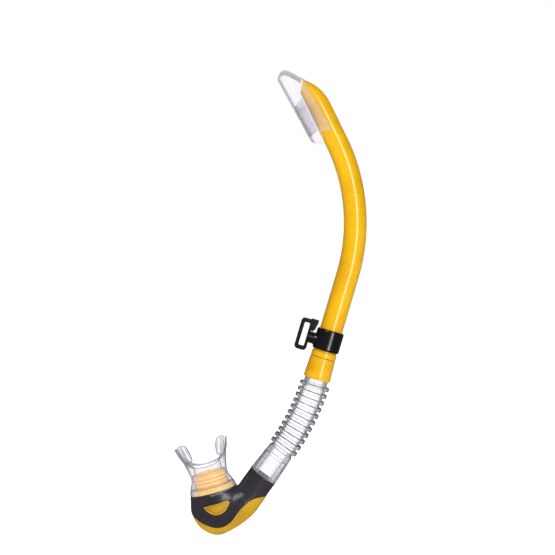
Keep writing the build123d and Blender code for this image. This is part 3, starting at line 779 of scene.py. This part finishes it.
def mouth_section(turn):
    """Closed outline of the silicone wall at one angle: outside up, over the rim, inside down."""
    waist = oval(*WAIST, turn)
    rim = oval(RIM_LONG, RIM_DEEP, 0, turn, RIM_SQUARE)
    rim.z = between(RIM_HEIGHTS, abs(rim.x))
    inner_rim = oval(RIM_LONG - RIM_THICK, RIM_DEEP - RIM_THICK, 0, turn, RIM_SQUARE)
    inner_rim.z = rim.z - 0.15
    mouth = oval(*MOUTH_BORE, 0, turn)
    # the wall swells a little on its way from the waist to the rim
    flare = waist.lerp(rim, 0.55)
    flare += Vector((-0.04 * rim.x, -0.06 * rim.y, 0.1 * (rim.z - waist.z)))
    section = [
        oval(*MOUTH_FOOT, SEAT_GAP, turn, saddle=True),
        oval(*MOUTH_FOOT, 1.6, turn, saddle=True),
        oval(22.1, 14.6, 4.2, turn),
        oval(20.2, 13.5, 8.4, turn),
        oval(18.4, 12.4, 13.0, turn),
        oval(18.1, 12.2, 16.5, turn),
    ]
    for step in range(7):
        t = step / 6
        section.append((1 - t) ** 2 * waist + 2 * t * (1 - t) * flare + t ** 2 * rim)
    section.append((rim + inner_rim) / 2 + Vector((0, 0, 0.5)))
    # the inside follows the rim's curve down to the bore
    for step in range(7):
        t = step / 6
        point = inner_rim.lerp(mouth, t)
        point.z = min(inner_rim.z, between(RIM_HEIGHTS, abs(point.x)) - 0.35 - 0.35 * t)
        section.append(point)
    section += [
        oval(*MOUTH_BORE, BORE_TOP, turn),
        oval(*MOUTH_BORE, POCKET_TOP, turn),
        oval(*NECK_POCKET, POCKET_TOP, turn),
        oval(*NECK_POCKET, FLANGE_TOP, turn),
        oval(*FLANGE_POCKET, FLANGE_TOP, turn),
        oval(*FLANGE_POCKET, SEAT_GAP, turn, saddle=True),
    ]
    return section


sections = [mouth_section(2 * pi * j / MOUTH_TURNS) for j in range(MOUTH_TURNS)]
mouth_rings = [[SEAT @ section[i] for section in sections] for i in range(len(sections[0]))]
mouth_wall = shell("mouth_wall", mouth_rings)

TAB_GRID = 36
TAB_INNER_LOW = Vector((10.4, 0, 30.2))  # the right tab's corners, over the seat
TAB_INNER_HIGH = Vector((14.9, 0, 50.4))
TAB_OUTER_LOW = Vector((22.2, 0, 31.8))
TAB_OUTER_HIGH = Vector((26.4, 0, 48.6))
TAB_HALF = 2.1               # half thickness
TAB_HEEL = 2.0               # added to it at the heel
HEEL_PLACE = 0.14            # the heel's middle and reach, as parts of the tab's width
HEEL_REACH = 0.2
RIDGE_HIGH = 0.8
RIDGE_WAVES = 3.5
WELD = 0.00001               # metres: the tab's two faces meet round its edge


def bite_tab(side):
    """Ridged tab that stands in the wing, thickest near its inner edge."""
    points = []
    for face in (-1, 1):
        for i in range(TAB_GRID + 1):
            for j in range(TAB_GRID + 1):
                a = 2 * i / TAB_GRID - 1
                b = 2 * j / TAB_GRID - 1
                across = (a * sqrt(1 - 0.34 * b * b) + 1) / 2
                along = (b * sqrt(1 - 0.42 * a * a) + 1) / 2
                inner = TAB_INNER_LOW.lerp(TAB_INNER_HIGH, along)
                outer = TAB_OUTER_LOW.lerp(TAB_OUTER_HIGH, along)
                point = inner.lerp(outer, across)
                edge = sqrt(max(1 - abs(a) ** 5, 0)) * sqrt(max(1 - abs(b) ** 7, 0))
                ridge = RIDGE_HIGH * sin(2 * RIDGE_WAVES * pi * across) * edge
                heel = TAB_HEEL * max(0.0, 1 - abs(across - HEEL_PLACE) / HEEL_REACH)
                half = (TAB_HALF + heel) * edge + ridge
                points.append(SEAT @ Vector((side * point.x, face * half, point.z)))
    row = TAB_GRID + 1
    faces = []
    for base in (0, row * row):
        for i in range(TAB_GRID):
            for j in range(TAB_GRID):
                k = base + i * row + j
                faces.append((k, k + 1, k + row + 1, k + row))
    made = mesh_object("tab", points, faces)
    outward(made, WELD)
    return made


# one piece with two materials: the wall's faces come first, then the tabs'
wall_faces = len(mouth_wall.data.polygons)
mouth = joined("mouthpiece_silicone", [mouth_wall, bite_tab(-1), bite_tab(1)])
show(mouth, mouth_silicone, "chamber", ["mouthpiece"])
mouth.data.materials.append(tab_silicone)
for face in mouth.data.polygons[wall_faces:]:
    face.material_index = 1

# ---- floor, light and camera ------------------------------------------------------------------
FLOOR_DROP = 30.0            # room for the elbow, which goes lower when the hose straightens
FLOOR_HALF = 4000.0
floor_z = cad_box[0].z / MM - FLOOR_DROP
floor = mesh_object(
    "floor",
    [(x * FLOOR_HALF, y * FLOOR_HALF, floor_z) for x, y in ((-1, -1), (1, -1), (1, 1), (-1, 1))],
    [(0, 1, 2, 3)],
)
paper = Surface("paper")
paper.link(
    paper.ramp(paper.noise(3.0, 2.0), [(0.35, (0.93, 0.93, 0.93, 1)), (0.65, (0.96, 0.96, 0.96, 1))]),
    paper.shader.inputs["Base Color"],
)
paper.set(Roughness=0.9, Emission_Color=WHITE, Emission_Strength=0.85)
floor.data.materials.append(paper.material)
floor.visible_glossy = False

world = bpy.data.worlds.new("studio")
bpy.context.scene.world = world
world.use_nodes = True
tree = world.node_tree
FILL_COLOUR = (0.86, 0.88, 0.92, 1)
FILL_STRENGTH = 0.38         # what lights the part
MIRRORED_STRENGTH = 0.1      # what its gloss reflects


def background(colour, strength):
    made = tree.nodes.new("ShaderNodeBackground")
    made.inputs["Color"].default_value = colour
    made.inputs["Strength"].default_value = strength
    return made.outputs["Background"]


def chosen(ray, other, shown):
    """The shown background for this kind of ray, and the other one for the rest."""
    made = tree.nodes.new("ShaderNodeMixShader")
    tree.links.new(ray, made.inputs["Fac"])
    tree.links.new(other, made.inputs[1])
    tree.links.new(shown, made.inputs[2])
    return made.outputs["Shader"]


backdrop = tree.nodes["Background"]
backdrop.inputs["Color"].default_value = WHITE
fill = background(FILL_COLOUR, FILL_STRENGTH)
mirrored = background(FILL_COLOUR, MIRRORED_STRENGTH)
rays = tree.nodes.new("ShaderNodeLightPath").outputs
unseen = chosen(rays["Is Glossy Ray"], fill, mirrored)
sky = chosen(rays["Is Camera Ray"], unseen, backdrop.outputs["Background"])
tree.links.new(sky, tree.nodes["World Output"].inputs["Surface"])

AIM = Vector((-0.060, 0.0, 0.0245))      # the middle of the photograph


def softbox(name, place_m, size, power):
    """Rectangular lamp that points at the middle of the photograph."""
    lamp = bpy.data.lights.new(name, "AREA")
    lamp.shape = "RECTANGLE"
    lamp.size, lamp.size_y = size
    lamp.energy = power
    holder = bpy.data.objects.new(name, lamp)
    holder.location = place_m
    holder.rotation_euler = (AIM - Vector(place_m)).to_track_quat("-Z", "Y").to_euler()
    bpy.context.scene.collection.objects.link(holder)


softbox("key", place_m=(-0.7, -1.3, 1.2), size=(0.9, 0.9), power=12.5)
softbox("stripe", place_m=(0.48, -1.4, 0.05), size=(0.34, 1.3), power=13.0)
softbox("back", place_m=(0.3, 1.4, 1.0), size=(1.2, 0.8), power=5.0)

FRAME_WIDTH = 0.5384         # what the photograph shows across, at the part
DISTANCE = 1.0
camera = bpy.data.cameras.new("camera")
camera.sensor_width = 36.0
camera.lens = camera.sensor_width * DISTANCE / FRAME_WIDTH
camera_holder = bpy.data.objects.new("camera", camera)
camera_holder.location = AIM + Vector((0, -DISTANCE, 0))
camera_holder.rotation_euler = (pi / 2, 0, 0)
bpy.context.scene.collection.objects.link(camera_holder)
bpy.context.scene.camera = camera_holder
bpy.context.scene.view_settings.view_transform = "Standard"
